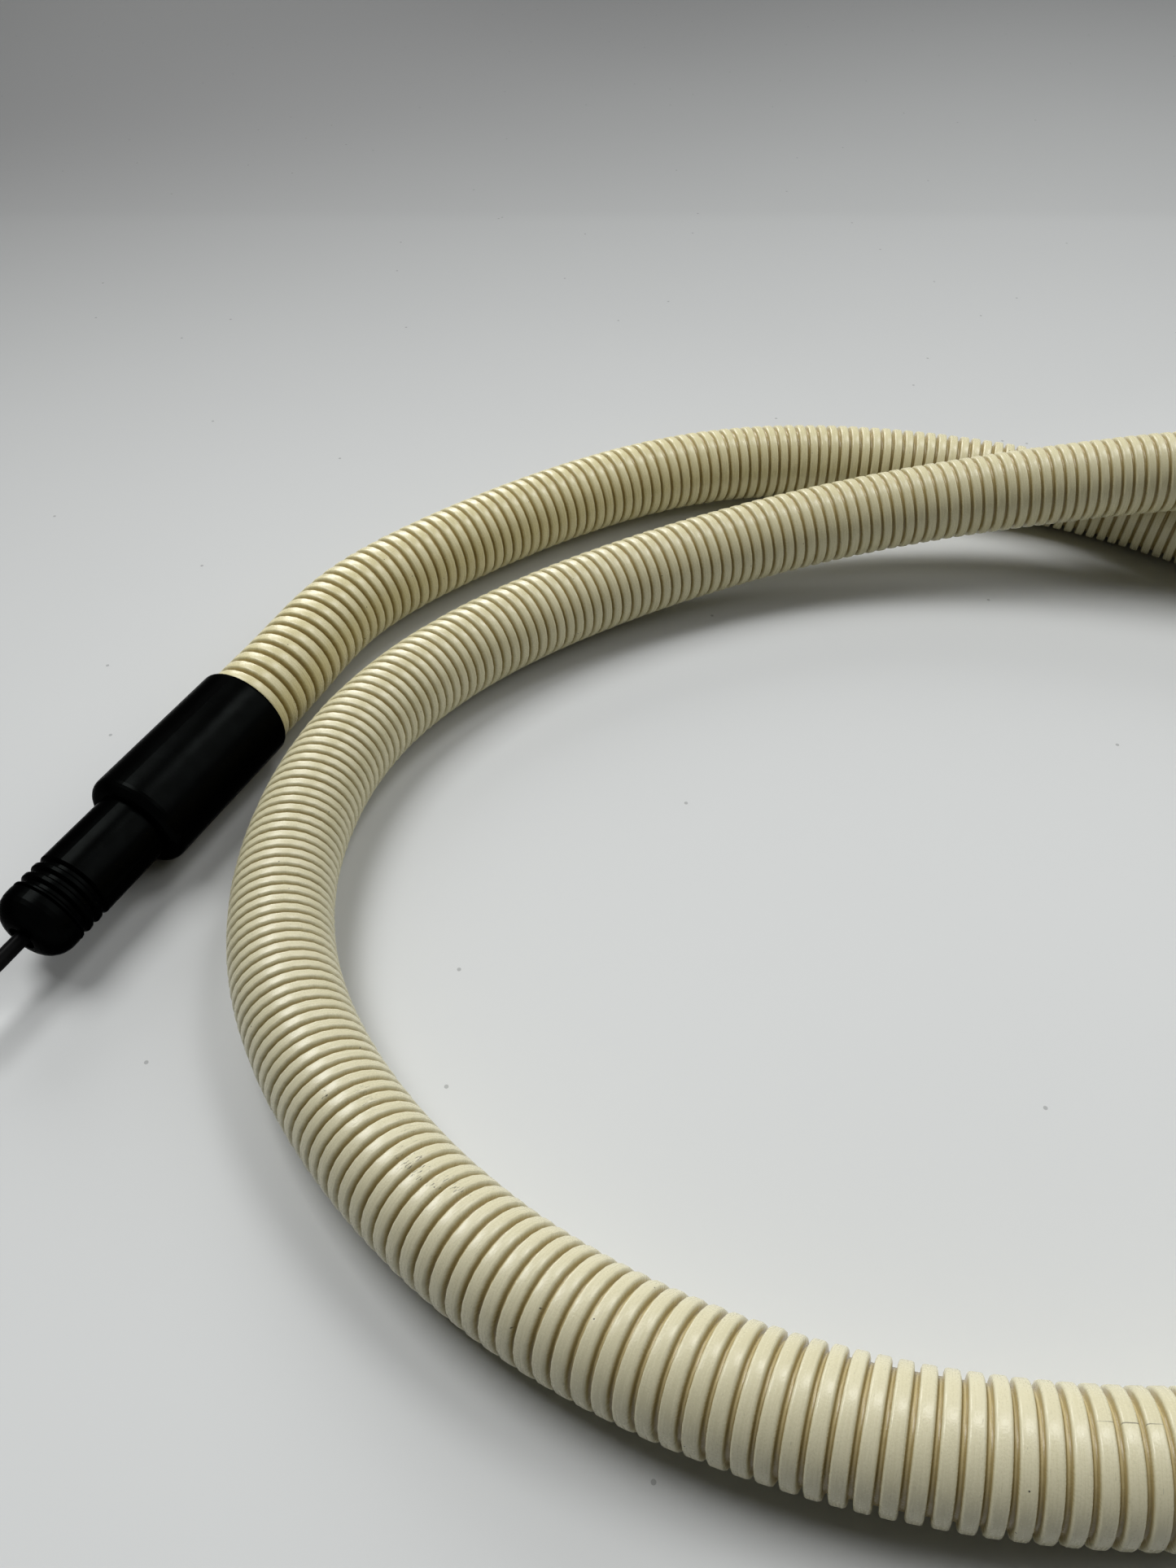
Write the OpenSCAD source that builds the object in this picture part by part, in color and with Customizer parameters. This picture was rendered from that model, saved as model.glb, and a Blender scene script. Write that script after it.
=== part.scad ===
// Cable shutter release: ribbed sheath with a slim camera end and a plunger handle.
// +Z is up, the whole release lies on the plane Z = 0.
// Both end fittings lie along X, and their local axis runs from the sheath mouth to -X.

/* [Sheath] */
// Outer diameter over the ribs
sheath_d = 6.5; // [6.2:0.1:6.6]
// Depth of the groove between two ribs
groove_depth = 0.52; // [0.4:0.02:0.6]
// Number of ribs over the whole sheath
rib_count = 180; // [120:10:200]
// Bore of the sheath
sheath_bore = 3.8; // [3.6:0.1:4]
// Wall of the liner tube
liner_wall = 0.7; // [0.5:0.05:0.8]
// Diameter of the core wire
core_d = 1; // [0.8:0.1:1.2]

/* [End sleeves] */
// Outer diameter of both sleeves
sleeve_d = 7.2; // [7:0.1:7.6]
// Length of both sleeves
sleeve_len = 12.2; // [11:0.1:14]
// How deep the sheath sits in a sleeve
seat_depth = 9.5; // [8.5:0.1:9.8]
// Depth of the mouth that takes the first rib
lip_depth = 1.2; // [0.8:0.1:2]
// Rounding of the sleeve's mouth edge
mouth_round = 0.3; // [0.1:0.05:0.4]
// Rounding of the sleeve's shoulder edge
shoulder_round = 0.8; // [0.3:0.1:1]
// Wall of the sleeve around the crimp ring
sleeve_wall = 0.55; // [0.45:0.05:0.65]
// Length of the crimp rings
crimp_len = 6; // [4:0.5:7]

/* [Nose] */
// Diameter of the neck
neck_d = 5.2; // [4.8:0.1:5.6]
// Length of the plain neck
neck_len = 5.2; // [4:0.1:8]
// Number of grooves at the end of the neck
groove_count = 3; // [2:1:4]
// Distance between the grooves
groove_pitch = 0.82; // [0.7:0.02:1]
// Depth of these grooves
nose_groove = 0.3; // [0.2:0.05:0.4]
// Length of the nose cap
cap_len = 2.2; // [2:0.1:4]
// Rounding of the nose cap
cap_round = 1.6; // [1:0.1:1.6]
// Wire that stands out of the nose at rest
wire_out = 6; // [3:0.5:8]
// Travel of the plunger and of the wire
stroke = 10; // [6:0.5:10]

/* [Plunger barrel] */
// Diameter of the barrel
barrel_d = 9; // [8.4:0.1:10]
// Length of the barrel outside its sleeve
barrel_len = 42; // [40:0.5:46]
// Diameter of the barrel where it leaves its sleeve
root_d = 5.6; // [5.2:0.1:6]
// Bore of the spring chamber
chamber_d = 6.6; // [6.2:0.1:6.8]
// Length of the spring chamber with the bush in it
chamber_len = 33; // [32:0.5:36]
// Diameter of the finger flange
flange_d = 18; // [17:0.5:22]
// Thickness of the finger flange
flange_t = 2.6; // [2:0.1:3]
// Length of the bush inside the barrel
bush_len = 10; // [9:0.5:11]
// Thickness of the head of the bush
bush_head = 1.6; // [1.2:0.1:2.5]

/* [Plunger] */
// Diameter of the plunger rod
rod_d = 3; // [2.6:0.1:3.2]
// Diameter of the thumb button
button_d = 10; // [9:0.5:12]
// Length of the thumb button
button_len = 8.5; // [6:0.5:12]
// Thickness of the collar under the button
collar_len = 1.6; // [1:0.1:2.5]
// Depth of the dish in the button's face
dish_depth = 0.8; // [0.4:0.1:1.2]
// Diameter of the spring wire
spring_wire = 0.6; // [0.5:0.05:0.7]
// Turns of the return spring
spring_turns = 10; // [7:1:12]

/* [Lock screw] */
// Diameter of the screw's shank
screw_d = 2; // [1.6:0.1:2.2]
// Diameter of the knurled head
head_d = 6; // [5:0.5:7]
// Height of the knurled head
head_h = 3; // [2.5:0.5:5]
// Number of knurls round the head
knurls = 20; // [12:1:28]

/* [Hidden] */
$fn = 48;
fit_gap = 0.05;      // radial gap of a sliding fit
seat_gap = 0.1;      // radial gap of parts that are pressed or crimped together
face_gap = 0.05;     // gap between faces that are screwed up tight
loose_gap = 0.3;     // gap beside pieces that move freely

sleeve_r = sleeve_d / 2;
sheath_r = sheath_d / 2;
spigot_r = sheath_r - groove_depth;
liner_r = sheath_bore / 2 - seat_gap;
core_r = core_d / 2;
crimp_out_r = sleeve_r - sleeve_wall - fit_gap;
crimp_in_r = spigot_r + fit_gap;
lip_r = sheath_r + seat_gap;
shank_r = 2.1;
flange_r = flange_d / 2;
rod_r = rod_d / 2;

// Stations along an end fitting, counted from the sheath mouth
inner_face = seat_depth;
shoulder = sleeve_len;
barrel_start = shoulder + face_gap;

// Camera end
neck_end = barrel_start + neck_len;
ring_zone = groove_count * groove_pitch;
cap_start = neck_end + ring_zone;
nose_end = cap_start + cap_len;
wire_tip = nose_end + wire_out;
wire_tail = 1.5;
guide_len = 2.2;

// Hand end
barrel_end = barrel_start + barrel_len;
chamber_start = barrel_end - chamber_len;
bush_start = barrel_end - bush_len;
piston_len = 2;
piston_end = bush_start - face_gap;
piston_start = piston_end - piston_len;
seat_t = 0.6;
spring_start = chamber_start + face_gap + seat_t;
spring_r = chamber_d / 2 - loose_gap - spring_wire / 2;
flange_start = barrel_end - flange_t;
flange_seat_r = barrel_d / 2 - 0.6;
rest_gap = stroke + 1;
collar_start = barrel_end + bush_head + rest_gap;
button_start = collar_start + collar_len + face_gap;
button_end = button_start + button_len;
nipple_len = 4;
rod_start = piston_start - 3;
nipple_start = rod_start - nipple_len + 1.5;
push_wire_start = seat_depth + 1.5;
core_tip_gap = 0.8;

// Where the two fittings lie: the middle of each sleeve's mouth
nose_mouth = [18, 62.3, sleeve_r];
hand_mouth = [38.5, -57, flange_r];

// Route of the sheath: x, y and lift above its place on the ground.
// These are the control points of a uniform cubic B-spline.
// Four points in line at each end keep it straight where it sits in a sleeve.
end_step = 8;
nose_seat_x = nose_mouth[0] - seat_depth;
hand_seat_x = hand_mouth[0] - seat_depth;
route_head = [for (i = [-1 : 2]) [nose_seat_x + i * end_step, nose_mouth[1], nose_mouth[2]]];
route_tail = [for (i = [2 : -1 : -1]) [hand_seat_x + i * end_step, hand_mouth[1], hand_mouth[2]]];
route_free = [
    [32.5, 63, 0.3], [44, 58.5, 0.1], [55, 52.5, 0], [64.5, 44.5, 0], [70.5, 34, 0],
    [74, 21.5, 0], [75, 8, 0], [72.5, -5.5, 0], [67.5, -17.5, 0], [59.5, -28, 0],
    [49.5, -35.5, 0], [38, -38.5, 0], [26.5, -37.5, 0], [16.5, -32, 0], [7.5, -23, 0],
    [0.5, -12, 0], [-5.5, 0, 0], [-9, 12.5, 0], [-9.5, 25.5, 0], [-6, 37.5, 0],
    [0.5, 47.5, 0], [10.5, 53, 0], [22, 54.5, 0], [33.5, 51, 0], [44.5, 44, 0.4],
    [54.5, 35, 1.2], [62.5, 24.5, 2.7], [68.5, 12.5, 4.9], [73, 0.5, 7.4], [76, -12.5, 8.1],
    [75.5, -25, 6.3], [72, -37.5, 3.2], [64.5, -47.5, 1.4], [55.5, -54, 3]
];
route = concat(route_head, [for (p = route_free) [p[0], p[1], sheath_r + p[2]]], route_tail);

// ---- Curve and tube functions ----

// Point of a uniform cubic B-spline at u, counted in spans of its control points
function spline_at(pts, u) =
    let (
        i = min(floor(u), len(pts) - 4),
        t = u - i,
        a = pow(1 - t, 3) / 6,
        b = (3 * pow(t, 3) - 6 * t * t + 4) / 6,
        c = (-3 * pow(t, 3) + 3 * t * t + 3 * t + 1) / 6,
        d = pow(t, 3) / 6
    )
    pts[i] * a + pts[i + 1] * b + pts[i + 2] * c + pts[i + 3] * d;

function unit(v) = v / norm(v);

// Direction of the curve at u
function heading_at(pts, u) =
    let (
        last = len(pts) - 3,
        step = 0.02,
        before = max(0, u - step),
        after = min(last, u + step)
    )
    unit(spline_at(pts, after) - spline_at(pts, before));

// One ring of a tube: sides points at radius r round the curve at u
function ring_at(pts, u, r, sides) =
    let (
        centre = spline_at(pts, u),
        ahead = heading_at(pts, u),
        across = unit(cross([0, 0, 1], ahead)),
        up = cross(ahead, across)
    )
    [for (k = [0 : sides - 1])
        let (turn = 360 * (k + 0.5) / sides)
        centre + r * (cos(turn) * across + sin(turn) * up)];

// Triangles between ring a and ring b of a tube
function wall_faces(a, b, sides) =
    [for (k = [0 : sides - 1])
        let (
            next = (k + 1) % sides,
            p = a * sides + k,
            q = a * sides + next,
            s = b * sides + next,
            t = b * sides + k
        )
        each [[p, q, s], [p, s, t]]];

// Tube with outer rings and, when inner rings are given, a bore.
// The outer rings come first, then the inner ones.
module tube(outer, inner, sides) {
    n = len(outer);
    m = len(inner);
    points = [for (r = outer) each r, for (r = inner) each r];
    skin = [for (i = [0 : n - 2]) each wall_faces(i, i + 1, sides)];
    bore = m == 0 ? [] : [
        for (i = [n : n + m - 2]) for (f = wall_faces(i, i + 1, sides)) [f[0], f[2], f[1]]
    ];
    ends = m == 0
        ? [
            for (k = [1 : sides - 2]) [0, k + 1, k],
            for (k = [1 : sides - 2]) [(n - 1) * sides, (n - 1) * sides + k, (n - 1) * sides + k + 1]
        ]
        : [
            for (f = wall_faces(0, n, sides)) [f[0], f[2], f[1]],
            each wall_faces(n - 1, n + m - 1, sides)
        ];
    polyhedron(points = points, faces = [for (f = concat(skin, bore, ends)) [f[0], f[2], f[1]]]);
}

// ---- Frames of the two fittings ----

module along_fitting(mouth) {
    translate(mouth) rotate([0, -90, 0]) children();
}

// Ring between two stations, with an outer and an inner radius
module collar(from, to, outer, inner) {
    translate([0, 0, from]) difference() {
        cylinder(h = to - from, r = outer);
        translate([0, 0, -1]) cylinder(h = to - from + 2, r = inner);
    }
}

// Turned piece from a half outline of [radius, station] points
module turned(outline) {
    rotate_extrude() polygon(outline);
}

// Quarter-round corner between two straight edges, as outline points
function corner(r_centre, s_centre, radius, start, stop, steps = 6) =
    [for (i = [0 : steps])
        let (turn = start + (stop - start) * i / steps)
        [r_centre + radius * cos(turn), s_centre + radius * sin(turn)]];

// ---- Sheath ----

spans = len(route) - 3;
tube_sides = 8;
plain_rings = 76;
lip_seat = lip_depth - 0.2;
// Length of the route, and the share of it that lies inside a sleeve
route_steps = 400;
route_len = [for (
    i = 0, sum = 0;
    i <= route_steps;
    sum = sum + norm(spline_at(route, spans * (i + 1) / route_steps)
        - spline_at(route, spans * min(i, route_steps) / route_steps)),
    i = i + 1
) sum];
total_len = route_len[route_steps];
// Curve parameter at a given length along the route
function spans_at(length) = spans * lookup(length,
    [for (i = [0 : route_steps]) [route_len[i], i / route_steps]]);
rib_from = seat_depth - lip_seat;
rib_to = total_len - rib_from;

module cable_sheath() {
    rib_step = (rib_to - rib_from) / rib_count;
    ribs = [for (i = [0 : rib_count - 1]) each [
        ring_at(route, spans_at(rib_from + rib_step * (i + 0.5)), sheath_r, tube_sides),
        ring_at(route, spans_at(rib_from + rib_step * (i + 1)), spigot_r, tube_sides)
    ]];
    outer = concat(
        [ring_at(route, 0, spigot_r, tube_sides)],
        [ring_at(route, spans_at(rib_from), spigot_r, tube_sides)],
        ribs,
        [ring_at(route, spans, spigot_r, tube_sides)]
    );
    inner = [for (i = [0 : plain_rings])
        ring_at(route, spans * i / plain_rings, sheath_bore / 2, tube_sides)];
    color("ivory") tube(outer, inner, tube_sides);
}

module sheath_liner() {
    outer = [for (i = [0 : plain_rings])
        ring_at(route, spans * i / plain_rings, liner_r, tube_sides)];
    inner = [for (i = [0 : plain_rings])
        ring_at(route, spans * i / plain_rings, liner_r - liner_wall, tube_sides)];
    color("khaki") tube(outer, inner, tube_sides);
}

module core_wire() {
    first = seat_depth - wire_tail + core_tip_gap;
    last = total_len - (seat_depth - push_wire_start + stroke + core_tip_gap);
    outer = [for (i = [0 : plain_rings])
        ring_at(route, spans_at(first + (last - first) * i / plain_rings), core_r, tube_sides)];
    color("dimgray") tube(outer, [], tube_sides);
}

// ---- Pieces that both ends share ----

module sleeve_body() {
    crimp_seat_r = sleeve_r - sleeve_wall;
    turned(concat(
        [[lip_r, 0]],
        corner(sleeve_r - mouth_round, mouth_round, mouth_round, -90, 0),
        corner(sleeve_r - shoulder_round, shoulder - shoulder_round, shoulder_round, 0, 90),
        [
            [shank_r + seat_gap, shoulder],
            [shank_r + seat_gap, inner_face],
            [crimp_seat_r, inner_face],
            [crimp_seat_r, lip_depth],
            [lip_r, lip_depth]
        ]
    ));
}

module crimp_ring() {
    collar(seat_depth - crimp_len - face_gap, seat_depth - face_gap, crimp_out_r, crimp_in_r);
}

wire_bore_r = core_r + fit_gap;
guide_r = 1.2;

// Brass tube in the shank behind the shoulder, which guides the wire
module guide_tube() {
    collar(inner_face + face_gap, inner_face + face_gap + guide_len, guide_r, wire_bore_r);
}

// ---- Camera end ----

module end_sleeve() {
    color("#161616") along_fitting(nose_mouth) sleeve_body();
}

module front_crimp_ring() {
    color("goldenrod") along_fitting(nose_mouth) crimp_ring();
}

cap_spigot_r = 1.7;
cap_spigot_len = 2;

module nose_barrel() {
    neck_r = neck_d / 2;
    groove_w = groove_pitch * 0.36;
    grooves = [for (i = [0 : groove_count - 1])
        let (s = neck_end + groove_pitch * (i + 0.5))
        each [
            [neck_r, s - groove_w],
            [neck_r - nose_groove, s - groove_w * 0.35],
            [neck_r - nose_groove, s + groove_w * 0.35],
            [neck_r, s + groove_w]
        ]];
    color("#141414") along_fitting(nose_mouth) turned(concat(
        [
            [guide_r + seat_gap, inner_face + face_gap],
            [shank_r, inner_face + face_gap],
            [shank_r, barrel_start],
            [neck_r, barrel_start]
        ],
        grooves,
        [
            [neck_r, cap_start],
            [cap_spigot_r + seat_gap, cap_start],
            [cap_spigot_r + seat_gap, cap_start - cap_spigot_len],
            [guide_r + seat_gap, cap_start - cap_spigot_len]
        ]
    ));
}

module nose_cap() {
    neck_r = neck_d / 2;
    bush_seat_r = 0.8 + seat_gap;
    color("#101010") along_fitting(nose_mouth) turned(concat(
        [
            [bush_seat_r, cap_start - cap_spigot_len + face_gap],
            [cap_spigot_r, cap_start - cap_spigot_len + face_gap],
            [cap_spigot_r, cap_start + face_gap],
            [neck_r - 0.15, cap_start + face_gap],
            [neck_r, cap_start + 0.2]
        ],
        corner(neck_r - cap_round, nose_end - cap_round, cap_round, 0, 90, 8),
        [[bush_seat_r, nose_end]]
    ));
}

module nose_bush() {
    color("goldenrod") along_fitting(nose_mouth)
        collar(cap_start - cap_spigot_len + face_gap, nose_end - 0.3, 0.8, wire_bore_r);
}

module nose_wire_guide() {
    color("goldenrod") along_fitting(nose_mouth) guide_tube();
}

module release_wire() {
    tip_round = core_r * 0.6;
    color("#202020") along_fitting(nose_mouth) turned(concat(
        [[0, wire_tail], [core_r, wire_tail]],
        corner(core_r - tip_round, wire_tip - tip_round, tip_round, 0, 90, 5),
        [[0, wire_tip]]
    ));
}

// ---- Hand end ----

module handle_sleeve() {
    color("#161616") along_fitting(hand_mouth) sleeve_body();
}

module handle_crimp_ring() {
    color("goldenrod") along_fitting(hand_mouth) crimp_ring();
}

module handle_wire_guide() {
    color("goldenrod") along_fitting(hand_mouth) guide_tube();
}

push_bore_r = guide_r + seat_gap;

module plunger_barrel() {
    barrel_r = barrel_d / 2;
    chamber_r = chamber_d / 2;
    neck_r = root_d / 2;
    taper_len = 4;
    groove_s = [for (i = [0 : groove_count - 1]) barrel_end - 11 - i * 1.6];
    color("#141414") along_fitting(hand_mouth) difference() {
        turned(concat(
            [
                [push_bore_r, inner_face + face_gap],
                [shank_r, inner_face + face_gap],
                [shank_r, barrel_start],
                [neck_r, barrel_start],
                [neck_r, barrel_start + 1]
            ],
            corner(barrel_r - taper_len, barrel_start + 1 + taper_len, taper_len,
                -acos((neck_r - barrel_r + taper_len) / taper_len), 0, 6),
            [
                [barrel_r, flange_start - face_gap],
                [flange_seat_r, flange_start - face_gap],
                [flange_seat_r, barrel_end],
                [chamber_r, barrel_end],
                [chamber_r, chamber_start],
                [push_bore_r, chamber_start]
            ]
        ));
        for (s = groove_s)
            translate([0, 0, s]) rotate_extrude() translate([barrel_r, 0]) circle(r = 0.35, $fn = 24);
        translate([0, 0, screw_s]) rotate([0, 90, 0])
            cylinder(h = barrel_d, r = screw_d / 2 + loose_gap);
    }
}

module finger_flange() {
    edge = flange_t / 2;
    color("#141414") along_fitting(hand_mouth) turned(concat(
        [[flange_seat_r + fit_gap, flange_start]],
        corner(flange_r - edge, flange_start + edge, edge, -90, 90, 12),
        [[flange_seat_r + fit_gap, flange_start + flange_t]]
    ));
}

module barrel_bush() {
    bush_r = chamber_d / 2 - fit_gap;
    head_r = barrel_d / 2;
    color("goldenrod") along_fitting(hand_mouth) difference() {
        turned(concat(
            [
                [rod_r + fit_gap, bush_start],
                [bush_r, bush_start],
                [bush_r, barrel_end + face_gap],
                [head_r, barrel_end + face_gap]
            ],
            corner(head_r - 0.5, barrel_end + bush_head - 0.5, 0.5, 0, 90, 4),
            [[rod_r + fit_gap, barrel_end + bush_head]]
        ));
        translate([0, 0, screw_s]) rotate([0, 90, 0])
            cylinder(h = barrel_d, r = screw_d / 2 + loose_gap);
    }
}

module spring_seat() {
    color("silver") along_fitting(hand_mouth)
        collar(chamber_start + face_gap, spring_start, chamber_d / 2 - fit_gap, push_bore_r);
}

// Compression spring: a helix with close end turns
module return_spring() {
    rings = 8;
    sides = 6;
    rise = piston_start - face_gap - spring_start - spring_wire - face_gap;
    n = spring_turns * rings;
    function height(i) =
        let (t = i / n, flat = 1 / spring_turns)
        t < flat ? t * spring_turns * spring_wire * 1.05
        : t > 1 - flat ? rise - (1 - t) * spring_turns * spring_wire * 1.05
        : spring_wire * 1.05 + (t - flat) / (1 - 2 * flat) * (rise - 2.1 * spring_wire);
    helix = [for (i = [0 : n])
        let (turn = 360 * i / rings)
        [spring_r * cos(turn), spring_r * sin(turn), height(i)]];
    coils = [for (i = [0 : n])
        let (
            turn = 360 * i / rings,
            before = helix[max(0, i - 1)],
            after = helix[min(n, i + 1)],
            ahead = unit(after - before),
            outward = [cos(turn), sin(turn), 0],
            side = unit(cross(ahead, outward))
        )
        [for (k = [0 : sides - 1])
            helix[i] + spring_wire / 2
                * (cos(360 * k / sides) * outward + sin(360 * k / sides) * side)]];
    color("silver") along_fitting(hand_mouth)
        translate([0, 0, spring_start + face_gap + spring_wire / 2])
            tube(coils, [], sides);
}

module rod_piston() {
    color("silver") along_fitting(hand_mouth)
        collar(piston_start, piston_end, chamber_d / 2 - 2 * fit_gap, rod_r + 0.02);
}

module plunger_rod() {
    socket = 1.6;
    color("silver") along_fitting(hand_mouth) turned([
        [nipple_r + 0.02, rod_start],
        [rod_r, rod_start],
        [rod_r, button_start + button_len * 0.6],
        [0, button_start + button_len * 0.6],
        [0, rod_start + socket],
        [nipple_r + 0.02, rod_start + socket]
    ]);
}

nipple_r = 1;

module core_nipple() {
    color("goldenrod") along_fitting(hand_mouth)
        collar(nipple_start, nipple_start + nipple_len, nipple_r, core_r + 0.02);
}

module plunger_wire() {
    color("dimgray") along_fitting(hand_mouth)
        translate([0, 0, push_wire_start])
            cylinder(h = nipple_start + nipple_len - push_wire_start, r = core_r);
}

module button_collar() {
    color("silver") along_fitting(hand_mouth)
        collar(collar_start, collar_start + collar_len, button_d / 2 - 1.4, rod_r + 0.02);
}

module thumb_button() {
    button_r = button_d / 2;
    waist_r = button_r - 1.2;
    dish_r = button_r - 1;
    dish_sphere = (dish_r * dish_r + dish_depth * dish_depth) / (2 * dish_depth);
    color("#141414") along_fitting(hand_mouth) difference() {
        turned(concat(
            [[0, button_start], [waist_r - 0.4, button_start], [waist_r, button_start + 0.4]],
            [[waist_r, button_start + button_len * 0.35], [button_r, button_start + button_len * 0.6]],
            corner(button_r - 0.6, button_end - 0.6, 0.6, 0, 90, 5),
            [[0, button_end]]
        ));
        translate([0, 0, button_end - dish_depth + dish_sphere]) sphere(r = dish_sphere, $fn = 96);
        translate([0, 0, button_start - 1])
            cylinder(h = button_len * 0.6 + 1 + fit_gap, r = rod_r + 0.02);
    }
}

// ---- Lock screw, standing up from the barrel ----

boss_r = screw_d / 2 + 1;
screw_s = flange_start - head_d / 2 - 2 * loose_gap;
boss_top = barrel_d / 2 + 1.6;
screw_foot = rod_r + loose_gap;

module lock_boss() {
    color("#141414") along_fitting(hand_mouth) translate([0, 0, screw_s]) rotate([0, 90, 0])
        difference() {
            cylinder(h = boss_top, r = boss_r);
            translate([0, 0, -1]) cylinder(h = boss_top + 2, r = screw_d / 2 + fit_gap);
            rotate([0, -90, 0]) translate([0, 0, -boss_r - 1])
                cylinder(h = 2 * boss_r + 2, r = barrel_d / 2 + 0.02);
        }
}

module lock_screw() {
    head_from = boss_top + loose_gap;
    color("silver") along_fitting(hand_mouth) translate([0, 0, screw_s]) rotate([0, 90, 0])
        difference() {
            union() {
                translate([0, 0, screw_foot]) cylinder(h = head_from - screw_foot, r = screw_d / 2);
                translate([0, 0, head_from]) cylinder(h = head_h, r = head_d / 2);
            }
            for (i = [0 : knurls - 1])
                rotate([0, 0, 360 * i / knurls]) translate([head_d / 2 + 0.1, 0, head_from - 1])
                    cylinder(h = head_h + 2, r = 0.3, $fn = 16);
        }
}

// ---- Least gap of the sheath to itself ----
gap_steps = 160;
gap_points = [for (i = [0 : gap_steps]) spline_at(route, spans * i / gap_steps)];
gap_skip = ceil(3 * sheath_d / (total_len / gap_steps));
least_gap = min([for (i = [0 : gap_steps - gap_skip]) for (j = [i + gap_skip : gap_steps])
    norm(gap_points[i] - gap_points[j])]) - sheath_d;
echo(sheath_length = total_len, least_gap_to_itself = least_gap, button_end = button_end);

end_sleeve();
front_crimp_ring();
nose_barrel();
nose_cap();
nose_bush();
nose_wire_guide();
release_wire();
cable_sheath();
sheath_liner();
core_wire();
handle_sleeve();
handle_crimp_ring();
handle_wire_guide();
plunger_barrel();
plunger_wire();
core_nipple();
spring_seat();
return_spring();
rod_piston();
plunger_rod();
barrel_bush();
finger_flange();
button_collar();
thumb_button();
lock_boss();
lock_screw();
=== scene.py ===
import math
import bpy
import numpy as np
from mathutils import Matrix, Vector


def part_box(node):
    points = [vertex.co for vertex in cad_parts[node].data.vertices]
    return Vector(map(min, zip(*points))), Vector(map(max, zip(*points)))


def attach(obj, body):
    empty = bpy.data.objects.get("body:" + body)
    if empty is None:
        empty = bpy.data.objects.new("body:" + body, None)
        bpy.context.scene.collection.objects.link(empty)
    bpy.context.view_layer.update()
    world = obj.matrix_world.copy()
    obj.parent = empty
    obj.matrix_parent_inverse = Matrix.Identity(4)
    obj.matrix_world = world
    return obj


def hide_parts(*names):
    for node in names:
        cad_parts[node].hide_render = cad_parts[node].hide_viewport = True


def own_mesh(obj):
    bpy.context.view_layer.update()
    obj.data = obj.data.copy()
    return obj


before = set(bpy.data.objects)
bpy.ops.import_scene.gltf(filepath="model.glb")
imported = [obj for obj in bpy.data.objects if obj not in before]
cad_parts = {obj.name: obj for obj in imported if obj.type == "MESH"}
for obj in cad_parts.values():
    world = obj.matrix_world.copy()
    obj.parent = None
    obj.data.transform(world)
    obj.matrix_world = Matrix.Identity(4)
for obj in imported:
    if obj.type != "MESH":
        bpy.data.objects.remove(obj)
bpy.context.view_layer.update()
mm = 0.001
print("release loaded:", len(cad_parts), "pieces")


def addObject(name, data, axes=None, place=(0, 0, 0)):
    # links an object, at the origin or with three axes and its place as the columns of its matrix
    added = bpy.data.objects.new(name, data)
    bpy.context.scene.collection.objects.link(added)
    if axes is not None:
        matrix = np.eye(4)
        matrix[:3, :3] = np.stack(axes, axis=1)
        matrix[:3, 3] = place
        added.matrix_world = Matrix(matrix.tolist())
    return added


cameraSetup = {
    "place": (-24.86, 14.81, 60.91),   # mm
    "yaw": -65.13,                     # degrees, turned about Z from +Y
    "pitch": 47.67,                    # degrees below the horizon
    "roll": 0.84,                      # degrees about the line of sight
    "lens": 25.807,
    "sensor": 36.0,
    "clipStart": 2.0,                  # mm
}


def cameraAxes(setup):
    # ahead from yaw and pitch, then the level right and up axes rolled about it; returns right, up and back
    yaw, pitch, roll = (math.radians(setup[k]) for k in ("yaw", "pitch", "roll"))
    ahead = np.array([-math.sin(yaw) * math.cos(pitch), math.cos(yaw) * math.cos(pitch), -math.sin(pitch)])
    level = np.array([math.cos(yaw), math.sin(yaw), 0.0])
    right = math.cos(roll) * level + math.sin(roll) * np.cross(level, ahead)
    return right, np.cross(right, ahead), -ahead


def addCamera(setup):
    # camera at its place, looking along the negative of its back axis
    data = bpy.data.cameras.new("camera")
    data.lens = setup["lens"]
    data.sensor_width = setup["sensor"]
    data.clip_start = setup["clipStart"] * mm
    place = np.array(setup["place"]) * mm
    bpy.context.scene.camera = addObject("camera", data, cameraAxes(setup), place)


addCamera(cameraSetup)
print("camera placed")


def gridFaces(rows, columns, firstPoint=0):
    # quads of a rows x columns grid whose columns wrap round; point (i, j) is number i * columns + j
    i = np.arange(rows - 1)[:, None]
    j = np.arange(columns)[None, :]
    k = (j + 1) % columns
    quads = np.stack([
        i * columns + j, i * columns + k, (i + 1) * columns + k, (i + 1) * columns + j,
    ], axis=-1)
    return quads.reshape(-1, 4) + firstPoint


def tubeFaces(outerRings, innerRings, sides):
    # outer wall, inner wall turned inwards, and at each end a ring of quads from one to the other
    start = outerRings * sides
    lastOuter, lastInner = start - sides, start + (innerRings - 1) * sides
    j = np.arange(sides)
    k = (j + 1) % sides
    return np.concatenate([
        gridFaces(outerRings, sides),
        gridFaces(innerRings, sides, start)[:, ::-1],
        np.stack([j, start + j, start + k, k], axis=-1),
        np.stack([lastOuter + j, lastOuter + k, lastInner + k, lastInner + j], axis=-1),
    ])


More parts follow.
